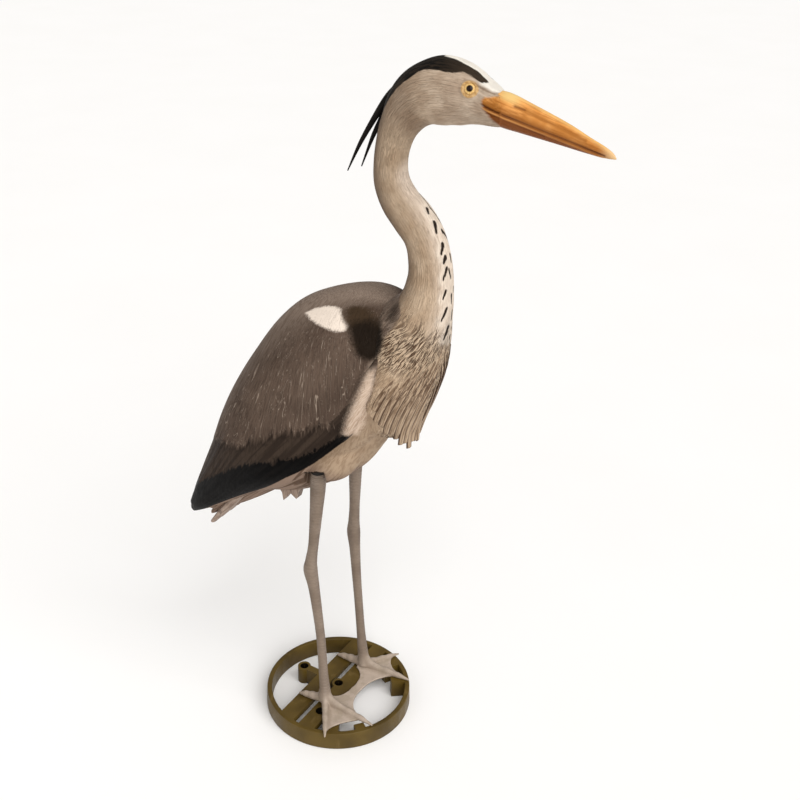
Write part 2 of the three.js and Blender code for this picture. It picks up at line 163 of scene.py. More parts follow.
WING_EDGE = [
    [-40, -27], [24, -27], [40, -31], [71, -40], [94, -43], [114, -43], [143, -41], [180, -40], [208, -38],
    [237, -35], [284, -33], [327, -29], [369, -25], [414, -22], [560, -22],
]
HEAD_STRIPE = [
    [28, 66], [31, 60], [36, 60], [42, 61], [48, 59], [54, 53], [60, 51], [67, 52], [77, 54], [87, 54],
    [94, 49], [103, 47], [112, 46], [122, 47], [134, 52], [146, 62], [156, 78], [162, 95], [70, 110],
    [70, 90], [70, 83], [61, 81], [52, 79], [44, 79], [36, 82], [29, 82], [27, 74],
]
BROW_EDGE = [[8, 76], [12, 65], [19, 53], [30, 52], [37, 64], [80, 64]]
BILL_BORDER = [
    [-40, 100], [4, 95], [7, 86], [11, 60], [17, 38], [23, 28], [25, 20], [24, 8], [22, -4], [17, -20],
    [12, -39], [7, -58], [3, -75], [-40, -100],
]
MANTLE_BORDER = [
    [325, 100], [334, 66], [342, 30], [349, 8], [366, 8], [377, 10], [390, 5], [402, 2], [420, -6],
    [520, -6], [520, 100],
]
# Neck dashes: head [along, degrees from the belly line], tail, and half width at the head. Positive degrees
# are on the bird's right.
NECK_DASHES = [
    [246, 7, 251, 12, 1.7], [261, 10, 268, 18, 2.0], [269, -4, 276, -20, 1.7], [279, 11, 286, 22, 2.1],
    [290, 12, 294, 20, 2.1], [300, 13, 308, 26, 1.6], [319, 18, 325, 26, 1.6], [336, 11, 345, 22, 1.9],
    [356, -5, 366, 4, 2.6], [229, -17, 244, -7, 0.9], [246, -6, 259, -14, 1.0], [259, -14, 264, -21, 1.0],
    [275, -23, 280, -23, 1.4], [290, -10, 296, -10, 1.5], [302, 5, 309, -1, 1.3], [320, -19, 324, -19, 1.3],
    [325, -6, 333, -9, 1.6], [343, -20, 351, -20, 1.9], [370, -21, 373, -18, 1.7],
]
# How the breast feathers turn outwards below a place on the neck: so many degrees, over so many millimetres.
FAN = {"from": 355, "turn": 45, "over": 60}
# The hollow outside each leg top, which rises outwards.
NOTCH = {"height": 385.5, "slope": 0.62, "reach": 11, "outwards": (36, -21)}
# The rows of long feathers: how many, and for the first and last one their angle, start, end, and the width.
WING_ROWS = [(5, (0.35, 0.42, 0.9), (-0.3, 0.3, 0.84), 10), (4, (-0.4, 0.45, 0.95), (-0.78, 0.26, 0.98), 8)]
# The ragged feathers behind the legs, in the side view.
VENT_SHEET = [(-30, 380), (-34, 359), (-43, 340), (-48, 323), (-56, 328), (-64, 321), (-68, 314), (-70, 325),
              (-84, 344), (-70, 380)]


def between(rows, t):
    """Catmull-Rom interpolation of a table's rows, with t from 0 to 1 over them."""
    rows = np.asarray(rows, float)
    last = len(rows) - 1
    at = np.minimum(np.asarray(t, float) * last, last - 1e-9)
    i = np.floor(at).astype(int)
    a, b, c, d = (rows[np.clip(i + k, 0, last)] for k in (-1, 0, 1, 2))
    w = (at - i)[..., None]
    slope_in, slope_out = (c - a) / 2, (d - b) / 2
    return (b + slope_in * w + (3 * (c - b) - 2 * slope_in - slope_out) * w ** 2
            + (2 * (b - c) + slope_in + slope_out) * w ** 3)


def unit(vectors):
    return vectors / np.linalg.norm(vectors, axis=-1, keepdims=True)


def around(count):
    """So many angles round a full turn."""
    return np.linspace(0, 2 * math.pi, count, endpoint=False)


def listed(x, y, z=0.0):
    """A list of points or vectors from grids of their parts."""
    return np.stack(np.broadcast_arrays(x, y, z), -1).reshape(-1, 3)


def place(points):
    """Places [x, forward] or [x, forward, height] as points of the part's frame."""
    points = np.asarray(points, float)
    return points * np.array([1, -1, 1])[:points.shape[-1]]


def section_frame(stations, t, x=0.0):
    """The section's centre and the direction of its back at each t."""
    row = between(stations, t)
    centre = np.stack([0 * row[..., 0] + x, -row[..., 0], row[..., 1]], -1)
    along = between(stations, np.minimum(t + 1e-3, 1)) - between(stations, np.maximum(t - 1e-3, 0))
    return centre, unit(np.stack([0 * along[..., 0], -along[..., 1], -along[..., 0]], -1))


def surface_point(stations, t, angle, x=0.0, squareness=2.0, grow=0.0, flip=1):
    """Points on a mid-plane sweep: angle 90 degrees is the back, 0 the left side, -90 the belly."""
    t, angle = np.broadcast_arrays(np.asarray(t, float), np.asarray(angle, float))
    centre, back = section_frame(stations, t, x)
    row = between(stations, t)
    c, s = np.cos(angle), np.sin(angle)
    power = np.where(s < 0, squareness, 2.0)
    rounding = (np.abs(c) ** power + np.abs(s) ** power) ** (-1 / power)
    reach = np.where(s < 0, row[..., 3], row[..., 2]) + grow
    across = np.zeros(centre.shape)
    across[..., 0] = (row[..., 4] + grow) * c * rounding
    return centre + across + back * (flip * reach * s * rounding)[..., None]


def tube(rings):
    """A closed mesh (points, faces) from rings of points, its faces turned to point out."""
    count, sides = rings.shape[:2]
    corner = np.arange(count * sides).reshape(count, sides)
    following = np.roll(corner, -1, axis=1)
    quads = np.stack([corner[:-1], following[:-1], following[1:], corner[1:]], -1).reshape(-1, 4)
    faces = quads.tolist() + [corner[0][::-1].tolist(), corner[-1].tolist()]
    points = rings.reshape(-1, 3)
    spokes = points[quads] - points.mean(0)
    volume = np.einsum("ij,ij->i", spokes[:, 0], np.cross(spokes[:, 1], spokes[:, 2])).sum()
    return points, faces if volume > 0 else [face[::-1] for face in faces]


def plane_sweep(stations, sides, rings, **options):
    t = np.linspace(0, 1, rings + 1)[:, None]
    return tube(surface_point(stations, t, around(sides), **options))


def strand(path, sizes, sides, rings, up, ridge=0.0):
    """A tube along a path, its sizes [half height, half width], with a middle rib of so many half heights.

    Up is one direction, or a table of directions along the path.
    """
    t = np.linspace(0, 1, rings + 1)
    points = between(path, t)
    along = unit(np.gradient(points, axis=0))
    across = unit(np.cross(along, up if np.ndim(up) == 1 else between(up, t)))
    normal = np.cross(across, along)
    angle = around(sides)
    rib = ridge * np.exp(-(np.cos(angle) / 0.16) ** 2) * (np.sin(angle) > 0)
    high, wide = between(sizes, t).T[..., None]
    return tube(points[:, None] + across[:, None] * (wide * np.cos(angle))[..., None]
                + normal[:, None] * (high * (np.sin(angle) + rib))[..., None])


def joined(forms):
    """Several meshes (points, faces) as one."""
    points, faces, start = [], [], 0
    for form_points, form_faces in forms:
        points.append(form_points)
        faces += [[corner + start for corner in face] for face in form_faces]
        start += len(form_points)
    return np.concatenate(points), faces


def piece(name, form, node="body"):
    """A piece of the heron from a mesh in millimetres, which stands for a CAD node."""
    points, faces = form
    mesh = bpy.data.meshes.new(name)
    mesh.from_pydata((points * MM).tolist(), [], faces)
    mesh.update()
    made = bpy.data.objects.new(name, mesh)
    bpy.context.scene.collection.objects.link(made)
    mesh.shade_smooth()
    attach(made, "root")
    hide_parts(node)
    return made


def bake(made, *modifiers):
    """Applies modifiers, each (kind, settings), to a piece."""
    for kind, settings in modifiers:
        modifier = made.modifiers.new(kind, kind)
        for key, value in settings.items():
            setattr(modifier, key, value)
    mesh = bpy.data.meshes.new_from_object(made.evaluated_get(bpy.context.evaluated_depsgraph_get()))
    made.modifiers.clear()
    made.data = mesh
    mesh.shade_smooth()


def fuse(made, voxel, rounds):
    """Joins a piece's overlapping forms into one skin of small faces, and smooths it."""
    bake(made, ("REMESH", {"mode": "VOXEL", "voxel_size": voxel * MM}),
         ("SMOOTH", {"factor": 0.5, "iterations": rounds}))


def read(collection, key):
    """The vectors of a mesh's collection as an array."""
    values = np.zeros(len(collection) * 3)
    collection.foreach_get(key, values)
    return values.reshape(-1, 3)


def points_of(made):
    """A piece's points in millimetres."""
    return read(made.data.vertices, "co") / MM


def normals_of(made):
    return read(made.data.vertex_normals, "vector")


def move_points(made, points):
    made.data.vertices.foreach_set("co", (points * MM).astype(np.float32).ravel())
    made.data.update()


def push(made, amount):
    """Moves each point of a piece along its normal by so many millimetres."""
    move_points(made, points_of(made) + normals_of(made) * amount[:, None])


def dress(made, material, shares=None, **lengths):
    """Gives a piece its material, and its points the fields that it reads: shares, and lengths as metres."""
    made.data.materials.clear()
    made.data.materials.append(material)
    metres = {name: values.astype(np.float32) * MM for name, values in lengths.items()}
    for name, values in {**metres, **(shares or {})}.items():
        kind, key = ("FLOAT", "value") if values.ndim == 1 else ("FLOAT_VECTOR", "vector")
        attribute = made.data.attributes.new(name, kind, "POINT")
        attribute.data.foreach_set(key, values.astype(np.float32).ravel())


def smoothstep(low, high, value):
    share = np.clip((value - low) / (high - low), 0, 1)
    return share * share * (3 - 2 * share)


def swell(distance, width):
    """A bell curve: 1 where the distance is 0, falling off over a width."""
    return np.exp(-(distance / width) ** 2)


def run_distance(points, start, end):
    """How far points are from a straight run, and the share of it that each is nearest to."""
    run = end - start
    share = np.clip((points - start) @ run / (run @ run), 0, 1)
    return np.linalg.norm(points - start - share[:, None] * run, axis=1), share


def path_distance(points, path):
    """The distance of each point from a path of straight runs."""
    path = np.asarray(path, float)
    return np.min([run_distance(points, a, b)[0] for a, b in zip(path[:-1], path[1:])], axis=0)


def measured(places, degree):
    """Places on a sweep with their degrees as millimetres."""
    return np.asarray(places, float) * np.array([1, degree])


def region_distance(places, degree, corners):
    """The distance of each place from a region's border, positive inside it."""
    points, corners = measured(places, degree), measured(corners, degree)
    inside = np.zeros(len(points), bool)
    for a, b in zip(corners, np.roll(corners, -1, axis=0)):
        crosses = (a[1] > points[:, 1]) != (b[1] > points[:, 1])
        rise = b[1] - a[1] if b[1] != a[1] else 1e-9
        inside ^= crosses & (points[:, 0] < a[0] + (points[:, 1] - a[1]) * (b[0] - a[0]) / rise)
    distance = path_distance(points, np.vstack([corners, corners[:1]]))
    return np.where(inside, distance, -distance)


def middle_line(stations):
    """A sweep's middle line in the side view: its t, places [forward, height] and lengths."""
    t = np.linspace(0, 1, 401)
    middle = between(stations, t)[:, :2]
    return t, middle, np.concatenate([[0], np.cumsum(np.linalg.norm(np.diff(middle, axis=0), axis=1))])


def sweep_places(stations, points):
    """Where points lie on a sweep: [along its middle line, degrees above the side]."""
    _, middle, length = middle_line(stations)
    side_view = np.stack([-points[:, 1], points[:, 2]], -1)
    batches = np.array_split(side_view, max(1, len(side_view) // 20000))
    nearest = np.concatenate([((batch[:, None] - middle) ** 2).sum(-1).argmin(1) for batch in batches])
    offset = side_view - middle[nearest]
    along = unit(np.gradient(middle, axis=0))[nearest]
    height = offset[:, 0] * along[:, 1] - offset[:, 1] * along[:, 0]
    angle = np.degrees(np.arctan2(height, np.abs(points[:, 0])))
    return np.stack([length[nearest] + (offset * along).sum(-1), angle], -1)


def fold(points):
    """Points with both sides folded onto the left one."""
    return np.column_stack([np.abs(points[:, 0]), points[:, 1:]])


def linear(red, green, blue):
    """An sRGB colour of 0 to 255 as Blender's linear colour."""
    shares = [value / 255 for value in (red, green, blue)]
    return tuple(s / 12.92 if s <= 0.04045 else ((s + 0.055) / 1.055) ** 2.4 for s in shares) + (1.0,)


class Finish:
    """One node material, whose coat of colour is painted layer by layer.

    A value may be a number, another node's output or the name of a field stored on the mesh. A tone is an
    sRGB colour or another node's output.
    """

    def __init__(self, name, roughness=0.6, **sockets):
        self.material = bpy.data.materials.new(name)
        self.material.use_nodes = True
        self.nodes = self.material.node_tree.nodes
        self.links = self.material.node_tree.links
        self.shader = self.nodes["Principled BSDF"]
        self.shader.inputs["Roughness"].default_value = roughness
        for socket, value in sockets.items():
            self.shader.inputs[socket.replace("_", " ")].default_value = value
        self.place = self.node("TexCoord", {}, "Object")
        self.coat = None

    def node(self, kind, inputs, output, **settings):
        """One output of a new node."""
        made = self.nodes.new("ShaderNode" + kind)
        for key, value in settings.items():
            setattr(made, key, value)
        for key, value in inputs.items():
            if isinstance(value, str):
                value = self.node("Attribute", {}, "Fac", attribute_name=value)
            if isinstance(value, bpy.types.NodeSocket):
                self.links.new(value, made.inputs[key])
            else:
                made.inputs[key].default_value = value
        return made.outputs[output]

    def calculate(self, operation, *values):
        return self.node("Math", dict(enumerate(values)), 0, operation=operation)

    def times(self, first, *others):
        for value in others:
            first = self.calculate("MULTIPLY", first, value)
        return first

    def total(self, *terms):
        """The sum of terms, each (value, weight)."""
        total = 0.0
        for value, weight in terms:
            total = self.calculate("MULTIPLY_ADD", value, weight, total)
        return total

    def away(self, value, level):
        """How far a value is from a level, to either side."""
        return self.calculate("ABSOLUTE", self.calculate("SUBTRACT", value, level))

    def frayed(self, field, noise, amount):
        """A stored distance with noise added, for an uneven border."""
        return self.calculate("MULTIPLY_ADD", noise, amount, field)

    def noise(self, scale, detail=2.0, distortion=0.0, vector=None):
        """Noise with so many grains to the metre along each axis."""
        vector = self.place if vector is None else vector
        stretched = self.node("Mapping", {"Vector": vector, "Scale": scale}, "Vector")
        return self.node("TexNoise", {"Vector": stretched, "Scale": 1.0, "Detail": detail,
                                      "Roughness": 0.55, "Distortion": distortion}, "Fac")

    def lines(self, flow, scale, detail=2.0, distortion=0.0):
        """Noise drawn out along a stored flow."""
        vector = self.node("Attribute", {}, "Vector", attribute_name=flow)
        return self.noise(scale, detail, distortion, vector)

    def step(self, value, low, high, start=0.0, end=1.0):
        """A smooth step from start at low to end at high."""
        return self.node("MapRange", {"Value": value, "From Min": low, "From Max": high,
                                      "To Min": start, "To Max": end},
                         "Result", interpolation_type="SMOOTHSTEP")

    def mix(self, share, first, second):
        """From one tone to another."""
        first, second = (linear(*tone) if isinstance(tone, tuple) else tone for tone in (first, second))
        return self.node("Mix", {0: share, 6: first, 7: second}, 2, data_type="RGBA")

    def tones(self, value, first, second, low=0.35, high=0.65):
        """From one tone to another as a value goes from low to high."""
        return self.mix(self.step(value, low, high), first, second)

    def cover(self, tone, share):
        """Paints a tone over the coat."""
        self.coat = self.mix(share, self.coat, tone)

    def layer(self, tone, value, low, high, start=0.0, end=1.0):
        """Paints a tone over the coat, from the share start where a value is low to the share end."""
        self.cover(tone, self.step(value, low, high, start, end))

    def done(self, roughness=None, relief=None, depth=0.0):
        """The material with its coat, its roughness and its relief, whose depth is in metres."""
        self.links.new(self.coat, self.shader.inputs["Base Color"])
        if roughness is not None:
            self.links.new(roughness, self.shader.inputs["Roughness"])
        if relief is not None:
            normal = self.node("Bump", {"Height": relief, "Distance": depth, "Strength": 1.0}, "Normal")
            self.links.new(normal, self.shader.inputs["Normal"])
        return self.material


def paint_bill(f):
    """Ochre to orange, brown in the grooves, pale at the tip. Painted shade darkens it towards the gape, a
    painted shadow lies under the ridge, the ridge is paler as a painted highlight, and the yellow at the
    base, kept to its upper side, is partly a painted highlight.
    """
    grain = f.lines("bill_flow", (500, 9, 500), distortion=0.15)
    clouds = f.noise([60] * 3)
    f.coat = f.tones(clouds, (204, 134, 62), (226, 158, 86))
    f.layer((148, 84, 22), grain, 0.38, 0.56, 0.5, 0.0)
    # Painted shade: the upper bill darkens towards the gape.
    f.layer((136, 76, 16), "below", -0.014, -0.004, 0.0, 0.75)
    f.layer((112, 58, 18), "below", -0.003, 0.001, 0.0, 0.85)
    # Painted shadow under the ridge, along the shallow groove from the nostril.
    f.layer((142, 84, 24), "upper", 0.0, 0.0035, 0.75, 0.0)
    # Painted highlight: paler along the ridge.
    f.layer((226, 182, 112), "ridge", 0.001, 0.006, 0.7, 0.0)
    # The pale yellow of the base, kept to the upper side: partly paint, partly a painted highlight.
    yellow = f.step(f.frayed("base", clouds, 0.012), 0.026, 0.044, 0.85, 0.0)
    high = f.step("below", -0.020, -0.013, 1.0, 0.0)
    f.cover((224, 190, 122), f.times(yellow, high, f.step("base", 0.0, 0.014)))
    f.layer((216, 180, 134), "tip", 0.0, 0.02, 0.8, 0.0)
    edge = f.step("edge", 0.0003, 0.0014, 0.8, 0.0)
    f.cover((206, 144, 80), f.times(edge, f.step("base", 0.02, 0.08, 1.0, 0.35)))
    f.layer((84, 38, 4), f.frayed("groove", grain, -0.0008), -0.0004, 0.0018, 0.95, 0.0)
    return grain


def paint_black_patch(f, spray):
    """The sprayed patch on the shoulder, blackest along its front."""
    soot = f.tones(f.frayed("soot", spray, 0.012), (22, 16, 10), (58, 45, 32), 0.006, 0.026)
    f.layer(soot, f.frayed("black", spray, 0.008), -0.003, 0.007, 0.0, 0.95)


def neck_finish():
    """Pale plumage of the head, neck and breast: fine feather lines, black stripes and dashes, with painted
    shade on the nape, under the head and in the shoulder crease, and painted light on the neck's front.
    """
    f = Finish("Neck plumage", Specular_IOR_Level=0.1)
    fine = f.lines("flow", (760, 90, 500), 3, 0.4)
    wavy = f.away(f.lines("flow", (330, 34, 330), distortion=0.9), 0.5)
    ragged = f.lines("flow", (520, 90, 300))
    strings = f.lines("fan_flow", (400, 52, 0), distortion=0.9)
    cells = f.lines("fan_flow", (640, 130, 0), 1, 0.5)
    clumps = f.noise([45] * 3)
    spray = f.noise([380] * 3)

    face = f.tones(clumps, (168, 147, 127), (190, 171, 151))
    neck = f.tones(clumps, (166, 142, 117), (186, 163, 138))
    f.coat = f.tones("down", face, neck, 0.03, 0.15)
    # Painted light: the front of the neck paler, where the light falls on it.
    f.layer((232, 214, 196), f.frayed("front", clumps, -0.010), 0.003, 0.032, 0.0, 0.8)
    # Painted shade on the upper neck, under the head.
    f.cover((98, 78, 63), "throat")
    # Painted shade: the back of the neck darker, as if turned away from the light.
    f.layer((98, 79, 63), f.frayed("nape", clumps, 0.012), 0.0, 0.034, 0.0, 0.85)
    f.layer((134, 106, 80), wavy, 0.0, 0.024, 0.22, 0.0)
    f.layer((140, 113, 88), fine, 0.34, 0.54, 0.22, 0.0)

    string = f.step(f.away(strings, 0.5), 0.02, 0.075, 1.0, 0.0)
    gap = f.times(f.step(f.away(strings, 0.5), 0.02, 0.075), f.step(cells, 0.40, 0.58), "rough")
    f.cover((204, 181, 154), f.times(string, "rough", 0.5))
    f.cover((78, 57, 41), gap)
    mantle = f.tones(fine, (104, 87, 75), (132, 115, 101), 0.35, 0.6)
    f.layer(mantle, f.frayed("mantle", strings, 0.012), 0.002, 0.011)
    # Painted shade in the crease where the neck leaves the shoulder.
    f.layer((48, 37, 29), f.frayed("crease", spray, 0.004), 0.0, 0.010, 0.0, 0.7)
    paint_black_patch(f, spray)

    f.layer((238, 231, 219), f.frayed("crown", clumps, 0.004), 0.0, 0.006)
    dark = f.tones("down", (60, 48, 36), (12, 10, 8), 0.035, 0.075)
    dark = f.tones(fine, dark, (44, 35, 26), 0.4, 0.62)
    f.layer(dark, f.frayed("stripe", ragged, 0.0036), 0.0012, 0.0026)
    skin = f.tones(spray, (190, 146, 88), (212, 174, 120))
    eye = f.frayed("eye", spray, 0.0012)
    f.layer(skin, eye, 0.0084, 0.0100, 0.95, 0.0)
    f.layer((140, 94, 48), eye, 0.0064, 0.0076, 0.25, 0.0)
    f.layer((110, 88, 68), f.frayed("brow", fine, -0.001), -0.0004, 0.0016, 0.5, 0.0)

    plumage = f.coat
    grain = paint_bill(f)
    bill = f.step(f.frayed("bill", ragged, 0.004), 0.0004, 0.0048)
    f.coat = f.mix(bill, plumage, f.coat)
    dashes = f.frayed("dashes", ragged, 0.0026)
    rim = f.step(dashes, -0.0075, -0.0010, 0.0, 0.9)
    f.cover((232, 216, 198), f.times(rim, f.step(fine, 0.3, 0.55)))
    f.layer((40, 30, 23), dashes, 0.0002, 0.0016)
    relief = f.total((fine, 0.25), (f.step(wavy, 0.0, 0.04), 0.25), (gap, -1.3), (string, 0.3),
                     (f.step(dashes, 0.0, 0.0016), -0.5), (grain, 0.2))
    roughness = f.total((f.step(fine, 0.3, 0.7, 0.7, 0.5), 1.0), (bill, -0.18))
    return f.done(roughness, relief, 0.0009)


def wing_finish():
    """Grey-brown wings with sprayed patches, over a pale belly. Painted light on the top of the wings;
    painted shade under the coverts, on the belly under the wing's edge, in the shoulder crease and in the
    hollows by the legs.
    """
    f = Finish("Wing plumage", Specular_IOR_Level=0.02)
    barbs = f.lines("flow", (620, 50, 620), 3, 0.3)
    hairs = f.lines("flow", (115, 10, 115), 1, 1.0)
    curls = f.lines("flow", (150, 44, 150), 1, 1.6)
    pieces = f.lines("flow", (120, 26, 120), 1)
    streaks = f.lines("flow", (300, 26, 300), distortion=0.5)
    long = f.lines("wing_flow", (6, 190, 0), distortion=0.3)
    folds = f.lines("wing_flow", (14, 120, 0), distortion=1.2)
    belly_lines = f.lines("down_flow", (560, 90, 90), 3, 0.5)
    spray = f.noise([420] * 3)

    covert = f.frayed("covert", streaks, 0.030)
    above = f.step(covert, 0.009, 0.020)
    coverts = f.tones(f.noise([14] * 3), (76, 62, 53), (96, 80, 69), 0.3, 0.7)
    secondaries = f.tones(long, (46, 37, 31), (62, 51, 43), 0.4, 0.6)
    f.coat = f.mix(above, secondaries, coverts)
    middle = f.times(above, f.step("mantle", 0.0, 0.050, 1.0, 0.25))
    f.cover((122, 106, 93), f.times(f.step(streaks, 0.54, 0.68), middle, 0.25))
    f.layer((46, 37, 31), barbs, 0.36, 0.52, 0.4, 0.0)
    # Painted light: the top of the wings lighter, as if lit from above, less so towards the tail.
    top = f.times(f.step("mantle", 0.0, 0.060), f.step("tail", -0.22, -0.04, 0.95, 0.35))
    f.cover(f.tones(barbs, (120, 103, 90), (148, 131, 117), 0.36, 0.6), top)
    straight = f.times(f.step(f.away(hairs, 0.5), 0.003, 0.016, 1.0, 0.0), f.step(pieces, 0.44, 0.52))
    curled = f.times(f.step(f.away(curls, 0.5), 0.003, 0.022, 1.0, 0.0),
                     f.step(pieces, 0.46, 0.40, 0.0, 0.6))
    hair = f.times(f.calculate("MAXIMUM", straight, curled), middle)
    f.cover((166, 149, 133), f.times(hair, 0.6))
    # Painted shadow: a dark line along the coverts' ragged edge.
    f.layer((32, 25, 21), f.away(covert, 0.008), 0.0, 0.004, 0.4, 0.0)

    belly = f.tones(belly_lines, (144, 122, 100), (164, 142, 119), 0.36, 0.6)
    # Painted shade on the belly just under the wing's edge.
    belly = f.mix(f.step("under", 0.0, 0.020, 0.45, 0.0), belly, (104, 84, 66))
    vent = f.tones(folds, (94, 75, 62), (138, 117, 102), 0.38, 0.56)
    under = f.frayed("under", spray, 0.001)
    f.layer(f.tones("tail", belly, vent, -0.065, -0.035), under, 0.0, 0.003)
    # Painted shade in the crease where the neck leaves the shoulder.
    f.layer((44, 34, 27), f.frayed("crease", spray, 0.005), 0.0, 0.010, 0.0, 0.6)
    creamy = f.tones(belly_lines, (174, 150, 130), (200, 179, 160), 0.36, 0.6)
    f.layer(creamy, f.frayed("cream", spray, 0.007), -0.001, 0.010)
    f.layer((232, 217, 202), f.frayed("white", spray, 0.006), 0.001, 0.0055)
    paint_black_patch(f, spray)
    ragged = f.total((long, 0.010), (streaks, 0.014), ("band", 1.0))
    band = f.times(f.step(ragged, 0.010, 0.015), f.step(under, 0.001, 0.002, 1.0, 0.0))
    f.cover(f.tones(long, (3, 2, 2), (12, 9, 8), 0.4, 0.65), band)
    # Painted shade inside the hollows beside the leg tops.
    f.layer((26, 19, 14), "flap", 0.0, 0.003, 0.0, 0.95)
    relief = f.total((f.times(barbs, f.step(band, 0.0, 1.0, 1.0, 0.15)), 0.4), (hair, 0.5),
                     (belly_lines, 0.2), (f.times(streaks, above), 0.3), (long, 0.25))
    roughness = f.times(f.step(barbs, 0.3, 0.7, 0.66, 0.46), f.step(band, 0.0, 1.0, 1.0, 0.75))
    return f.done(roughness, relief, 0.0007)


def breast_finish():
    """The hanging breast plumes: pale ribs with brown between them, where their edges are darkened with
    painted shade as they overlap.
    """
    f = Finish("Breast plumes", Specular_IOR_Level=0.2)
    lines = f.lines("flow", (700, 36, 0), 3)
    cells = f.lines("flow", (480, 90, 0), 1, 0.6)
    f.coat = f.tones(lines, (124, 101, 79), (174, 151, 126), 0.36, 0.6)
    # Painted shade: the plumes' edges darker where they overlap.
    gap = f.step(f.frayed("edge", lines, 0.0014), 0.0012, 0.0030, 1.0, 0.0)
    f.cover((74, 54, 39), f.times(gap, f.step("from_start", 0.002, 0.030)))
    speckle = f.step(f.frayed("from_top", lines, 0.02), 0.045, 0.120, 0.9, 0.0)
    f.cover((84, 62, 45), f.times(speckle, f.step(cells, 0.44, 0.6)))
    return f.done(f.step(lines, 0.3, 0.7, 0.7, 0.5), lines, 0.0008)


def tail_finish():
    """Pinkish beige tail feathers with brown folds."""
    f = Finish("Tail plumage", Specular_IOR_Level=0.35)
    lines = f.lines("flow", (600, 40, 400), 3, 0.8)
    folds = f.lines("flow", (160, 18, 120), 1, 1.5)
    f.coat = f.tones(lines, (124, 103, 89), (160, 139, 123), 0.35, 0.62)
    f.layer((88, 71, 59), folds, 0.56, 0.66, 0.0, 0.7)
    return f.done(f.step(lines, 0.3, 0.7, 0.68, 0.5), f.total((lines, 0.5), (folds, -1.0)), 0.001)


def bill_finish():
    f = Finish("Bill", Specular_IOR_Level=0.18)
    grain = paint_bill(f)
    root = f.step("base", 0.010, 0.021, 0.6, 0.0)
    f.cover((160, 94, 36), f.times(root, f.step("below", -0.017, -0.012)))
    return f.done(f.step(grain, 0.3, 0.7, 0.46, 0.3), grain, 0.0005)


def crest_finish():
    f = Finish("Black plumes", Specular_IOR_Level=0.05)
    barbs = f.lines("flow", (1500, 60, 1500))
    f.coat = f.tones(barbs, (10, 9, 8), (30, 26, 22))
    return f.done(f.step(barbs, 0.3, 0.7, 0.6, 0.38), barbs, 0.0006)


def leg_finish():
    """Grey-beige legs with fine cross rings, and finely scaled feet; painted shade along the toes and on the
    leg tops that go up into the body.
    """
    f = Finish("Leg skin", Specular_IOR_Level=0.3)
    scales = f.node("TexVoronoi", {"Vector": f.place, "Scale": 380.0}, "Distance")
    clouds = f.noise([38] * 3, 3)
    uneven = f.noise([90] * 3)
    ring_spacing = 0.0026
    wave = f.calculate("SINE", f.times(f.frayed("height", uneven, 0.0016), 2 * math.pi / ring_spacing))
    f.coat = f.tones(clouds, (108, 94, 83), (138, 123, 110), 0.3, 0.7)
    f.cover((92, 75, 63), f.times(f.step(wave, -1.0, 0.2, 0.3, 0.0), "shank"))
    f.layer((84, 68, 57), "scute", 0.0, 1.0, 0.3, 0.0)
    f.layer((190, 173, 157), "height", 0.030, 0.060, 0.75, 0.0)
    # Painted shade along the sides of the toes, where they meet the web.
    f.layer((126, 109, 92), "toe", 0.0, 0.006, 0.5, 0.0)
    foot = f.step("height", 0.03, 0.06, 1.0, 0.0)
    f.cover((140, 126, 106), f.times(f.step(uneven, 0.35, 0.60, 0.4, 0.0), foot))
    # Painted shade: the leg tops dark where they go up into the hollows of the body.
    f.layer((24, 18, 13), "height", 0.3862, 0.3876)
    f.layer((92, 75, 63), scales, 0.0, 0.5, 0.12, 0.0)
    rings = f.times(f.step(wave, -1.0, 0.6), "shank")
    relief = f.total((rings, 0.6), (scales, 0.5), (uneven, 0.4))
    return f.done(f.step(clouds, 0.3, 0.7, 0.66, 0.48), relief, 0.0005)


def stand_finish():
    """Olive brown moulded plastic, a little scuffed, with painted shade down its holes."""
    f = Finish("Stand plastic", Specular_IOR_Level=0.2)
    scuffs = f.noise((60, 60, 14), 4, 0.6)
    grain = f.noise([900] * 3)
    f.coat = f.tones(f.noise([22] * 3), (70, 54, 18), (92, 73, 29), 0.3, 0.7)
    f.layer((118, 97, 58), scuffs, 0.58, 0.72, 0.0, 0.35)
    # Painted shade: dark down inside the stand's holes.
    f.layer((20, 14, 7), "bore", 0.0, 0.004)
    roughness = f.total((f.step(scuffs, 0.35, 0.7, 0.26, 0.46), 1.0), (grain, 0.1))
    return f.done(roughness, grain, 0.0002)


def eye_finish():
    """A glossy eye: black pupil, yellow iris with darker rays, brown rim."""
    f = Finish("Eye", roughness=0.2, Specular_IOR_Level=0.15, Coat_Weight=0.05, Coat_Roughness=0.1)
    rays = f.lines("flow", [700] * 3)
    iris = f.tones(rays, (198, 156, 92), (222, 188, 124))
    iris = f.tones("reach", iris, (150, 108, 58), 0.0046, 0.0056)
    f.coat = f.tones("reach", (28, 13, 6), iris, 0.0027, 0.0037)
    return f.done()


def eye_centre():
    """The middle of the left eye's ball, and the way it looks."""
    along, angle = EYE["along"], EYE["angle"]
    surface, ahead, above = surface_point(HEAD_AND_NECK, np.array([along, along + 0.004, along]),
                                          np.array([angle, angle, angle + 0.02]))
    looks = unit(np.cross(ahead - surface, above - surface))
    return surface + looks * (EYE["bulge"] - EYE["radius"]), looks


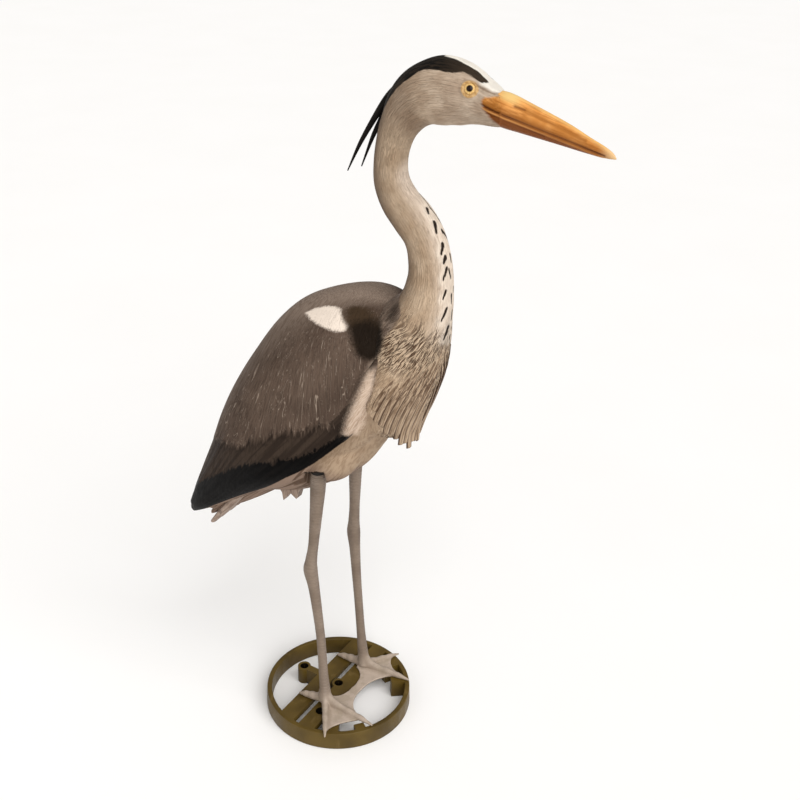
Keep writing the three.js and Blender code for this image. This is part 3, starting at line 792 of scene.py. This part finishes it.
def bill_fields(points):
    """The relief, the distances and the flow of the bill, also where its paint reaches on to the head."""
    folded = fold(points)
    base, tip = np.array(BILL)[[0, -1], :2]
    out = np.stack([-points[:, 1], points[:, 2]], -1) - base
    length = out @ unit(tip - base)
    to_tip = math.dist(base, tip) - length
    culmen = surface_point(BILL, np.linspace(0, 1, 16), math.pi / 2, flip=-1)
    ridge = path_distance(folded, culmen)
    gape, second, nostril, upper = (path_distance(folded, place(line))
                                    for line in (GAPE, SECOND_GROOVE, NOSTRIL, UPPER_GROOVE))
    under_gape = np.interp(-points[:, 1], *np.transpose(GAPE)[1:]) - points[:, 2]
    lip = under_gape - 2.6
    relief = (0.4 * swell(lip, 1.4) * (length > 8) - 1.2 * swell(gape, 1.1) - 0.5 * swell(second, 1.0)
              - 1.0 * swell(nostril, 1.2) - 0.6 * swell(upper, 1.8))
    relief *= smoothstep(0, 14, to_tip)
    relief -= 1.3 * swell(length - 110, 16) * swell(ridge, 5)
    fields = {
        "groove": np.minimum(np.minimum(gape, nostril + 0.5), second + 0.6), "upper": upper,
        "edge": np.abs(lip), "below": under_gape - 3, "base": length - 4, "ridge": ridge, "tip": to_tip,
        "bill_flow": listed(folded[:, 0], length, out @ np.array([0.24, 0.97])),
    }
    return relief, fields


def head_relief(points):
    """Millimetres to push the head out by: the rim and hollow round the eye, the brow and the forehead."""
    folded = fold(points)
    centre, looks = eye_centre()
    from_eye = np.linalg.norm(folded - (centre + looks * 6.4), axis=1)
    brow, forehead, crown = (path_distance(folded, place(line)) for line in (BROW, FOREHEAD, CROWN))
    relief = (0.5 * swell(from_eye - 7.2, 1.3) - 0.8 * swell(from_eye - 11.5, 2.4)
              - 1.2 * swell(brow, 1.5) + 0.9 * swell(forehead, 4) - 1.3 * swell(crown, 26))
    return relief, {"eye": from_eye, "brow": brow}


def dash_distance(along, degrees):
    """How far each neck place is inside the nearest dark dash, whose head is wider than its tail."""
    places = measured(np.stack([along, degrees], -1), NECK_DEGREE)
    inside = []
    for *dash, half_width in NECK_DASHES:
        away, share = run_distance(places, *measured(np.reshape(dash, (2, 2)), NECK_DEGREE))
        inside.append(half_width * (1 - 0.5 * share) - away)
    return np.max(inside, axis=0)


def fan_turn(along):
    """How many degrees the breast feathers have turned outwards at each length along the neck."""
    return FAN["turn"] * (1 - np.exp(-np.maximum(along - FAN["from"], 0) / FAN["over"]))


def shoulder_fields(places):
    """The distances of the sprayed patch that reaches from the wing on to the neck."""
    soot = path_distance(measured(places, WING_DEGREE), measured(SOOT_LINE, WING_DEGREE)) - 6
    return {"soot": soot, "black": region_distance(places, WING_DEGREE, BLACK_PATCH)}


def make_head_and_neck():
    made = piece("head_and_neck", plane_sweep(HEAD_AND_NECK, 200, 430))
    points = points_of(made)
    places = sweep_places(HEAD_AND_NECK, points)
    along, above_side = places.T
    below = above_side + 90
    fan = below - fan_turn(along)
    distance = partial(region_distance, places, NECK_DEGREE)
    head_amount, head = head_relief(points)
    bill_amount, bill = bill_fields(points)
    bill["groove"] = np.where(along < 34, bill["groove"], 9)
    bill_border = distance(BILL_BORDER)
    right = points[:, 0] < 0
    dashes = dash_distance(along, np.where(right, below, -below))

    throat = 2.2 * swell(along - 50, 13) * smoothstep(40, 15, below)
    sunk_root = 7 * smoothstep(455, 500, along) * smoothstep(62, 84, below)
    push(made, head_amount + bill_amount * smoothstep(-2, 1, bill_border) + throat - sunk_root
         - 0.45 * smoothstep(-0.6, 0.8, dashes))

    head_only = 1 - smoothstep(85, 150, along)
    # Painted shade on the back of the neck, left off the head.
    nape = (above_side - 6) * NECK_DEGREE - 40 * head_only
    # Painted light on the front of the neck, between the head and the breast.
    front = (-8 - above_side) * NECK_DEGREE * smoothstep(150, 200, along) * (1 - smoothstep(350, 400, along))
    brow_edge = np.interp(along, *np.transpose(BROW_EDGE))
    ragged_top = along + 4 * np.sin(points[:, 0] * 0.31) + 4 * np.sin(below * 0.23)
    calm_side = 0.8 * smoothstep(12, 30, fan) * smoothstep(392, 415, along)
    rough = smoothstep(343, 366, ragged_top) * (1 - calm_side)
    # Painted shade on the upper neck, where the head shades it.
    throat_shade = 0.45 * smoothstep(86, 108, along) * (1 - smoothstep(122, 160, along))
    left_shift = 12.0
    stripe_places = np.stack([along, above_side + left_shift * (points[:, 0] > 0)], -1)
    dress(made, neck_finish(), {"rough": rough, "throat": throat_shade},
          flow=listed(below * FLOW_DEGREE, along), fan_flow=listed(fan * FAN_DEGREE, along),
          down=along, nape=nape, front=front, dashes=dashes, mantle=distance(MANTLE_BORDER) * 3,
          stripe=region_distance(stripe_places, NECK_DEGREE, HEAD_STRIPE),
          crown=np.minimum(72 - along, (above_side - brow_edge) * NECK_DEGREE),
          crease=10 - path_distance(fold(points), place(CREASE)), bill=bill_border,
          **head, **bill, **shoulder_fields(sweep_places(WINGS, points)))


def make_bill():
    made = piece("bill", plane_sweep(BILL, 90, 180, flip=-1))
    amount, fields = bill_fields(points_of(made))
    push(made, amount)
    dress(made, bill_finish(), **fields)


def make_eyes():
    """A bulging eye on each side."""
    centre, looks = eye_centre()
    across = unit(np.cross(looks, [0, 0, 1]))
    up = np.cross(across, looks)
    turn = around(48)[:, None]
    sweep = np.linspace(0.02, 1.25, 16)[:, None, None]
    spokes = looks * np.cos(sweep) + (across * np.cos(turn) + up * np.sin(turn)) * np.sin(sweep)
    ball = centre + EYE["radius"] * spokes
    form = joined([tube(ball * np.array([side, 1, 1])) for side in (1, -1)])
    made = piece("eyes", form)
    spokes = fold(form[0]) - centre
    out = spokes - (spokes @ looks)[:, None] * looks
    dress(made, eye_finish(), reach=np.linalg.norm(out, axis=1), flow=unit(out + 1e-6) * 6)


def wing_strands():
    """The long feathers and the front roll of each folded wing."""
    strands = []
    for side in (-1, 1):
        for count, first, last, width in WING_ROWS:
            for angle, start, end in np.linspace(first, last, count):
                turned = angle if side > 0 else math.pi - angle
                t = np.linspace(start, end, 5)
                path = surface_point(WINGS, t, turned, squareness=WING_EDGE_SQUARENESS)
                up = unit(path - section_frame(WINGS, t)[0])
                sizes = [[0.5, 4], [1.8, width], [2.2, width], [2.2, width * 0.85], [1.2, width * 0.45]]
                strands.append(strand(path, sizes, 12, 24, up))
        roll = place([[side * 68, 92, 572], [side * 74, 84, 543], [side * 77, 73, 514], [side * 76, 58, 478],
                      [side * 71, 40, 452]])
        strands.append(strand(roll, [[2, 2], [8, 7], [9, 8], [8, 7], [2, 2]], 20, 20, [0, -1, 0]))
    return strands


def thigh(leg):
    forward = leg["stations"][1][0]
    stations = [[forward + 50, 458, 6, 6, 10], [forward + 34, 438, 40, 27, 34],
                [forward + 12, 410, 46, 33, 40], [forward, 391, 28, 20, 31], [forward - 4, 382, 10, 8, 15]]
    return plane_sweep(stations, 32, 24, x=leg["x"] * 0.8)


def radial_flow(folded, forward, height, radius):
    """Flow that spreads from a pole in the side view: [across the feathers, along them, sideways]."""
    run, rise = -folded[:, 1] - forward, folded[:, 2] - height
    return listed(np.arctan2(run, -rise) * radius, np.hypot(run, rise), folded[:, 0])


def leg_hollows(folded):
    """How far points are inside the hollow beside a leg top, and the height of its ceiling there."""
    inside, ceiling = np.full(len(folded), -9.0), np.zeros(len(folded))
    for leg in LEGS:
        middle = np.array([abs(leg["x"]), -leg["stations"][1][0]])
        outwards = np.array(NOTCH["outwards"])
        here = NOTCH["reach"] - run_distance(folded[:, :2], middle, middle + outwards)[0]
        run = np.maximum((folded[:, :2] - middle) @ unit(outwards), 0)
        ceiling = np.where(here > inside, NOTCH["height"] + NOTCH["slope"] * run, ceiling)
        inside = np.maximum(inside, here)
    return inside, ceiling


def make_trunk_and_wings():
    neck_root = HEAD_AND_NECK[14:]
    forms = [
        plane_sweep(TRUNK, 96, 90), plane_sweep(TAIL, 64, 40),
        plane_sweep(WINGS, 128, 120, squareness=WING_EDGE_SQUARENESS),
        plane_sweep(neck_root, 80, 60, grow=-1.2), *map(thigh, LEGS), *wing_strands(),
    ]
    made = piece("trunk_and_wings", joined(forms))
    fuse(made, 2.1, 5)
    points = points_of(made)
    folded = fold(points)
    places = sweep_places(WINGS, points)
    along, above_side = places.T
    scaled = measured(places, WING_DEGREE)
    under = (np.interp(along, *np.transpose(WING_EDGE)) - above_side) * WING_DEGREE
    covert = path_distance(scaled, measured(COVERT_EDGE, WING_DEGREE))
    covert = np.where(above_side > np.interp(along, *np.transpose(COVERT_EDGE)), covert, -covert)
    push(made, 0.5 * smoothstep(-1.5, 1.5, covert) * (under < 0))
    points = points_of(made)
    hollow, ceiling = leg_hollows(folded)
    # Where points lie inside a hollow beside a leg top, which is painted dark as shade.
    flap = np.where(points[:, 2] < ceiling + 1.5, hollow, -9)
    points[:, 2] += smoothstep(-1, 1.5, hollow) * np.maximum(ceiling - points[:, 2], 0)
    move_points(made, points)

    flow = radial_flow(folded, 25, 770, 340)
    flow[:, 2] *= 1 - np.abs(normals_of(made)[:, 0])
    distance = partial(region_distance, places, WING_DEGREE)
    dress(made, wing_finish(), flow=flow, down_flow=radial_flow(folded, 110, 560, 150),
          wing_flow=listed(*scaled.T),
          white=distance(WHITE_PATCH), cream=distance(CREAM_EDGE), band=distance(BLACK_BAND), covert=covert,
          under=under, flap=flap, crease=7 - path_distance(folded, place(CREASE)),
          mantle=(above_side - 30) * WING_DEGREE, tail=along - 235, **shoulder_fields(places))


def make_breast_plumes():
    """The long plumes that hang from the breast in a fan, with jagged tips."""
    sides, rings = 20, 60
    share = np.linspace(0, 1, rings + 1)[:, None]
    t, _, length = middle_line(HEAD_AND_NECK)
    top, hem, lowest_start = 384, 523, 470
    jagged = [0, 6, 1, 4, 8]
    sizes = [[0.1, 1.4], [0.7, 2.8], [1.4, 3.8], [1.9, 4.2], [2.2, 4.4], [1.5, 4.0]]
    width = between(sizes, share[:, 0])[:, 1:]
    across = width * np.cos(around(sides))
    blades, flows, starts = [], [], []
    for i, outset in enumerate(range(-37, 37, 8)):
        for side in (-1, 1):
            turned = np.clip(2 - outset, 0, 44)
            emerges = FAN["from"] - FAN["over"] * math.log(1 - turned / FAN["turn"])
            start = max(top + 6 * (i % 3) + max(outset - 8, 0), min(emerges, lowest_start))
            last = outset + fan_turn(518)
            end = hem - 0.0105 * last ** 2 - jagged[(i + side) % 5]
            along = np.linspace(start, end, len(sizes))
            on_skin = np.minimum(along, length[-1])
            angle = np.radians(-90 + side * (outset + fan_turn(on_skin)))
            path = surface_point(HEAD_AND_NECK, np.interp(on_skin, length, t), angle)
            path[:, 2] -= along - on_skin
            out = [side * math.sin(math.radians(last)), -math.cos(math.radians(last)), 0.1]
            blades.append(strand(path, sizes, sides, rings, out, ridge=0.3))
            flows.append(listed(across + 20 * len(blades), start - top + share * (end - start)))
            starts.append((share * (end - start) + 0 * across).ravel())
    made = piece("breast_plumes", joined(blades))
    flow = np.concatenate(flows)
    edge = np.tile((width - np.abs(across)).ravel(), len(blades))
    dress(made, breast_finish(), flow=flow, edge=edge, from_top=flow[:, 1],
          from_start=np.concatenate(starts))


def make_tail():
    """The fan of tail feathers under the wing tips, and the ragged feathers behind the legs."""
    blades, flows = [], []
    sides, rings, length = 20, 48, 130
    for i, across in enumerate((-1, -0.4, 0.4, 1)):
        path = [[26 * across, -110, 335], [24 * across, -156, 278], [20 * across, -190 + 3 * i, 236 + 3 * i]]
        blades.append(strand(place(path), [[8, 10], [6, 9.5], [3, 6]], sides, rings, [0, 0, 1], 0.15))
        along = np.linspace(0, length, rings + 1)[:, None]
        flows.append(listed(10 * np.cos(around(sides)) + 25 * len(blades), along))
    for x in (-20, 18):
        sheet = np.array([[(x + half, -forward, height) for forward, height in VENT_SHEET]
                          for half in (-6, 6)], float)
        blades.append(tube(sheet))
        flows.append(sheet.reshape(-1, 3)[:, [1, 2, 0]])
    made = piece("tail_feathers", joined(blades))
    dress(made, tail_finish(), flow=np.concatenate(flows))
    made.data.set_sharp_from_angle(angle=math.radians(50))


def make_crest():
    """The two free plumes behind the head, which start on its skin."""
    sizes = [[0.8, 1.5], [2.2, 3], [3.6, 3.8], [3.1, 3.1], [2.1, 2.3], [0.6, 0.8]]
    sides, rings, length = 24, 90, 110
    turn, along = around(sides), np.linspace(0, length, rings + 1)[:, None]
    strands, flows = [], []
    for index, path in enumerate(CREST):
        shifted = np.array(path) + np.outer((5, 5, 4, 2, 0), (0, 1, 0))
        path = place([[0, 72, 850 - 4 * index], *shifted])
        strands.append(strand(path, sizes, sides, rings, [0, 1, 0], 0.2))
        flows.append(listed(3 * np.cos(turn) + 10 * index, along, 3 * np.sin(turn)))
    made = piece("crest_plumes_detailed", joined(strands), "crest_plumes")
    dress(made, crest_finish(), flow=np.concatenate(flows))


def toe_form(leg, end, thickness):
    """One toe from above the ankle to its claw, with knuckles."""
    high = thickness * np.array([2.3, 1.5, 1.2, 0.95, 0.98, 0.78, 0.76, 0.52, 0.28])
    wide = thickness * np.array([1.5, 1.2, 1.1, 0.95, 1.02, 0.8, 0.82, 0.5, 0.28])
    path = np.linspace([leg["x"], leg["stations"][-1][0], SOLE], [end[1], end[0], SOLE], len(high))
    path[:, 2] += high
    return strand(place(path), np.stack([high, wide], -1), 18, 40, [0, 0, 1])


def curve(start, control, end, steps=10):
    """Points after start on a quadratic curve to end."""
    s = np.linspace(0, 1, steps + 1)[1:, None]
    return (1 - s) ** 2 * np.array(start) + 2 * s * (1 - s) * np.array(control) + s ** 2 * np.array(end)


def prism(outline, bottom, top):
    """A flat plate from an outline of [x, forward] places."""
    layers = [[(x, forward, height) for x, forward in outline] for height in (bottom, top)]
    return tube(place(layers))


def web_form():
    """The web between the toes of both feet, with its U round the stand's middle socket."""
    (near_tip, near_outer), (far_tip, far_outer) = (leg["outer"] for leg in LEGS)
    (near_middle, far_middle), (near, far) = ([leg["middle"][1] for leg in LEGS], [leg["x"] for leg in LEGS])
    bends = [
        ((near_outer + 26, 36), (near_middle - 3, 62)), (None, (near_middle + 3, 62)),
        ((near_middle + 16, 32), (3, 35)), ((far_middle - 22, 34), (far_middle - 3, 60)),
        (None, (far_middle + 3, 60)), ((far_outer - 26, 34), (far_outer - 6, far_tip - 4)),
        (None, (far + 6, 12)), (None, (far - 8, 4)), ((far - 16, 24), (3, 22)),
        ((near + 14, 22), (near + 14, 2)), (None, (near, 0)), (None, (near - 8, 6)),
    ]
    outline = [(near_outer + 6, near_tip - 4)]
    for control, end in bends:
        outline.extend([end] if control is None else curve(outline[-1], control, end))
    return prism(outline, SOLE, SOLE + WEB_THICKNESS)


def make_legs():
    forms = [web_form()]
    for leg in LEGS:
        forms.append(plane_sweep(leg["stations"], 40, 150, x=leg["x"]))
        forms += [toe_form(leg, leg[toe], thickness) for toe, thickness in TOES.items()]
    made = piece("legs_and_feet_detailed", joined(forms), "legs_and_feet")
    fuse(made, 1.1, 4)
    x, y, height = points_of(made).T
    shank = smoothstep(34, 60, height)
    wobble = 0.6 * np.sin(x * 0.9) + 0.5 * np.sin(y * 1.1 + height * 0.07)
    scute_spacing = 5.4
    ring = np.abs(((height + wobble) / scute_spacing) % 1 - 0.5) * 2
    scute = smoothstep(0.62, 1.0, ring) * shank
    push(made, -0.32 * scute)
    points = points_of(made)
    lines = [place([(leg["x"], leg["stations"][-1][0]), leg[toe][::-1]]) for leg in LEGS for toe in TOES]
    from_toes = np.min([path_distance(points[:, :2], line) for line in lines], axis=0)
    sunk = 1.5 * smoothstep(4, 13, from_toes) * (points[:, 2] > SOLE + 1.5)
    points[:, 2] = np.maximum(points[:, 2] - sunk, SOLE)
    move_points(made, points)
    dress(made, leg_finish(), {"shank": shank, "scute": 1 - scute}, height=height, toe=np.abs(from_toes - 5))


def lathe(profile, centre=(0, 0), segments=48):
    """A turned form about an upright axis, from a profile [radius, height] that closes on itself."""
    turn = around(segments)
    radius, height = np.asarray(profile, float).T[..., None]
    points = listed(centre[0] + radius * np.cos(turn), -centre[1] + radius * np.sin(turn), height)
    corner = np.arange(len(points)).reshape(-1, segments)
    following = np.roll(corner, -1, axis=1)
    quads = [corner, following, np.roll(following, -1, axis=0), np.roll(corner, -1, axis=0)]
    return points, np.stack(quads, -1).reshape(-1, 4).tolist()


def rounded(corners, radius):
    """An outline with each corner cut to an arc."""
    corners = np.asarray(corners, float)
    outline = []
    for before, at, after in zip(np.roll(corners, 1, 0), corners, np.roll(corners, -1, 0)):
        start, end = at + unit(before - at) * radius, at + unit(after - at) * radius
        outline += [start, *curve(start, at, end, steps=3)]
    return np.array(outline)


def rail_outline(rear, front):
    """A rail's outline, its ends curved to lie inside the ring's wall."""
    forward = np.linspace(rear, front, 9)
    reach = np.sqrt((STAND["radius"] - STAND["wall"] / 2) ** 2 - forward ** 2)
    right = np.stack([reach, forward], -1)
    return np.vstack([right, right[::-1] * np.array([-1, 1])])


def stand_plates():
    """The rails with their lips, the bar behind them and the rests for the toes."""
    height = STAND["height"]
    rail_top, rail_bottom = height - 0.1, height - RAIL_THICKNESS
    lip, drop = RAIL_LIP
    plates = []
    for rear, front in RAILS:
        plates.append(prism(rail_outline(rear, front), rail_bottom, rail_top))
        for a, b in ((rear, rear + lip), (front - lip, front)):
            plates.append(prism(rail_outline(a, b), rail_bottom - drop, rail_top))
    x, rear = SOCKETS[0]
    front = RAILS[0][1]
    plates.append(prism([[x - 5, rear], [x + 5, rear], [x + 5, front], [x - 5, front]], 0, rail_top))
    for angle, start, width in TOE_RESTS:
        turned = math.radians(angle)
        out = np.array([math.sin(turned), math.cos(turned)])
        side = np.array([math.cos(turned), -math.sin(turned)]) * width / 2
        near, far = out * start, out * (STAND["radius"] - STAND["wall"] / 2)
        plates.append(prism(rounded([near - side, near + side, far + side, far - side], 1.0), 0, height))
    return plates


def stand_holes():
    """The stand's holes: place, bore, outer radius, height of the floor and of the underside."""
    floor = STAND["height"] - PEG_HOLE["depth"]
    outer = PEG_HOLE["radius"] + PEG_HOLE["wall"]
    sockets = [(at, SOCKET_BORE, SOCKET_OUTER, STAND["base"], 0) for at in SOCKETS]
    return sockets + [((side * PEG_HOLE["side"], PEG_HOLE["forward"]), PEG_HOLE["radius"], outer, floor,
                       floor - PEG_HOLE["wall"]) for side in (-1, 1)]


def make_stand():
    radius, height, wall = STAND["radius"], STAND["height"], STAND["wall"]
    inner = radius - wall
    ring = lathe(rounded([[inner, 0], [radius, 0], [radius - 1, height], [inner + 0.5, height]], 1.2),
                 segments=192)
    made = piece("stand_detailed", joined([ring, *stand_plates()]), "stand")
    axis, room, over = 0.4, 1.5, height + 5
    bores, posts = [], []
    for at, bore, outer, floor, bottom in stand_holes():
        wide = bore + room
        bores.append(lathe([[axis / 2, floor], [wide, floor], [wide, over], [axis / 2, over]], at))
        posts.append(lathe(rounded([[outer, bottom], [outer, height], [bore, height], [bore, floor],
                                    [axis, floor], [axis, bottom]], 0.3), at))
    cutter = piece("cutter", joined(bores), "stand")
    bake(made, ("BOOLEAN", {"operation": "DIFFERENCE", "object": cutter, "use_self": True}))
    bpy.data.objects.remove(cutter)
    sockets = piece("stand_sockets", joined(posts), "stand")
    finish = stand_finish()
    for each in (made, sockets):
        points = points_of(each)
        inside = np.max([bore + 0.6 - np.linalg.norm(points[:, :2] - place(at), axis=1)
                         for at, bore, *_ in stand_holes()], axis=0)
        # The bore field carries painted shade, darker the deeper inside a hole.
        dress(each, finish, bore=np.where(inside > 0, 5 * (height - 0.5 - points[:, 2]), -9))
        each.data.set_sharp_from_angle(angle=math.radians(35))


def add_camera():
    """The camera of the photo, from its fit to the stand's ring."""
    camera = bpy.data.objects.new("Camera", bpy.data.cameras.new("Camera"))
    camera.data.lens, camera.data.sensor_width = 49.5, 36
    right, up, forward = (Vector(v) for v in ((0.5129, -0.8580, 0.0290), (0.3845, 0.2598, 0.8858),
                                              (0.7675, 0.4431, -0.4631)))
    turn = Matrix([right, up, -forward]).transposed().to_4x4()
    camera.matrix_world = Matrix.Translation((-0.97477, -0.64605, 1.0792)) @ turn
    bpy.context.scene.collection.objects.link(camera)
    bpy.context.scene.camera = camera


def add_light(name, kind, position, direction, **settings):
    light = bpy.data.lights.new(name, kind)
    for key, value in settings.items():
        setattr(light, key, value)
    made = bpy.data.objects.new(name, light)
    made.location = position
    made.rotation_euler = Vector(direction).to_track_quat("-Z", "Y").to_euler()
    bpy.context.scene.collection.objects.link(made)


def add_studio():
    """A pale floor and soft light, brightest from above and in front of the bird."""
    half, drop = 30.0, -0.0005
    mesh = bpy.data.meshes.new("Floor")
    corners = [(x * half, y * half, drop) for x, y in ((-1, -1), (1, -1), (1, 1), (-1, 1))]
    mesh.from_pydata(corners, [], [(0, 1, 2, 3)])
    floor = bpy.data.objects.new("Floor", mesh)
    bpy.context.scene.collection.objects.link(floor)
    f = Finish("Floor paper", roughness=0.9)
    f.coat = f.mix(f.noise([3] * 3), (246, 245, 243), (249, 248, 247))
    mesh.materials.append(f.done())
    world = bpy.data.worlds.new("Studio")
    world.use_nodes = True
    sky = world.node_tree.nodes["Background"].inputs
    sky["Color"].default_value = (1.0, 0.98, 0.96, 1)
    sky["Strength"].default_value = 0.45
    bpy.context.scene.world = world
    bpy.context.scene.view_settings.view_transform = "Standard"
    add_light("Key", "SUN", (0, 0, 0), (0.38, 0.72, -0.75), energy=2.9, angle=math.radians(60))
    add_light("Side", "AREA", (-2.2, 0.4, 1.6), (2.2, -0.4, -1.1), energy=6, size=1.6)


make_stand()
make_legs()
make_trunk_and_wings()
make_head_and_neck()
make_bill()
make_eyes()
make_breast_plumes()
make_tail()
make_crest()
add_camera()
add_studio()
